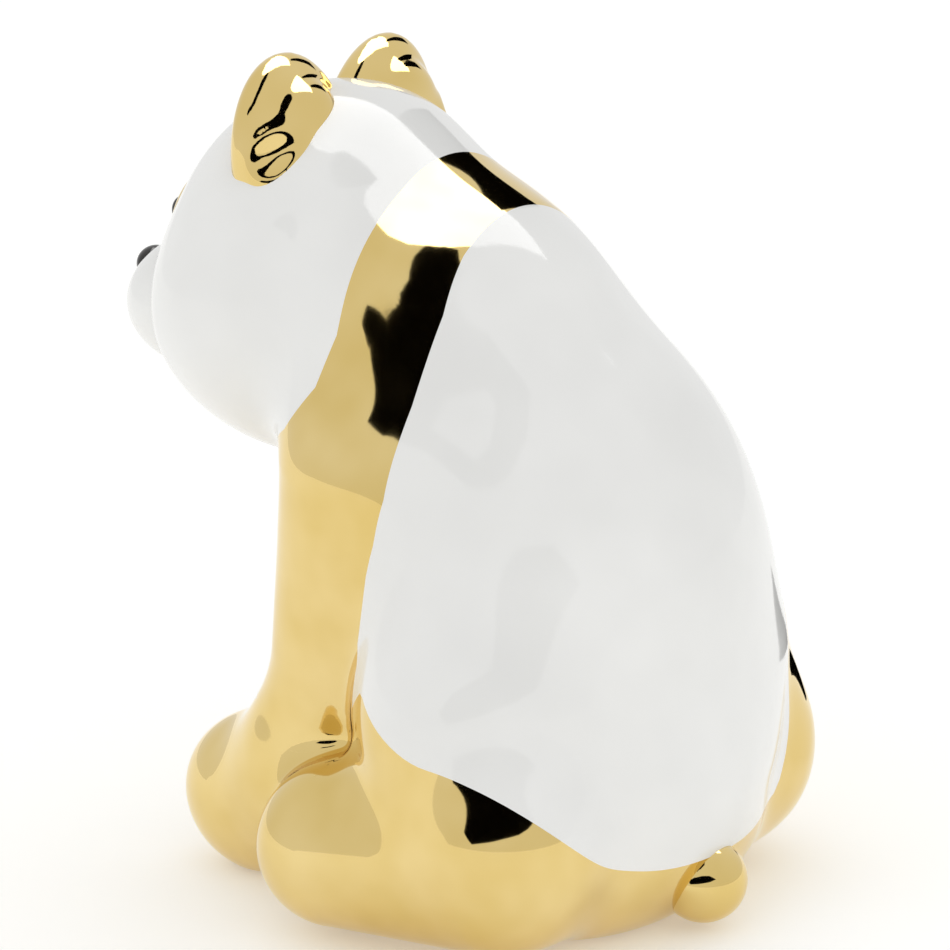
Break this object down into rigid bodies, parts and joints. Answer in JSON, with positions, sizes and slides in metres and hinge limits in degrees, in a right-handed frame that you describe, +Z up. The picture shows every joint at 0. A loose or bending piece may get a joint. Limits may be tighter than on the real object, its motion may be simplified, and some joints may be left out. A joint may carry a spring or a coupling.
{
  "type": "coin bank",
  "caption": "Seated bear coin bank in white and gold glazed ceramic: hollow body, coin slot in the crown, rubber stopper in the base, felt pads.",
  "frame": {"origin": "centre of the footprint box on the resting plane, under the felt pads", "axes": "+Z up; the bear looks along -Y; its left side is +X"},
  "size_m": [0.1694, 0.2102, 0.2351],
  "materials": {
    "white_glaze": "gloss",
    "gold_lustre": "polished",
    "black_glaze": "gloss",
    "rubber": "matte",
    "felt": "matte"
  },
  "bodies": {
    "body": {"head_shell": "white_glaze", "ear_left": "gold_lustre", "ear_right": "gold_lustre", "muzzle": "white_glaze", "nose": "black_glaze", "eye_patch_left": "gold_lustre", "eye_patch_right": "gold_lustre", "eye_left": "black_glaze", "eye_right": "black_glaze", "shoulder_yoke": "gold_lustre", "torso_shell": "white_glaze", "front_leg_left": "gold_lustre", "front_leg_right": "gold_lustre", "seat_shell": "gold_lustre", "hind_leg_left": "gold_lustre", "hind_leg_right": "gold_lustre", "tail": "gold_lustre", "pad_front_left": "felt", "pad_front_right": "felt", "pad_rear_left": "felt", "pad_rear_right": "felt"},
    "stopper": {"stopper": "rubber"}
  },
  "joints": [
    {"name": "stopper_pull", "type": "slide", "parent": "body", "child": "stopper", "axis": [0, 0, -1], "range_m": [0, 0.04]}
  ]
}
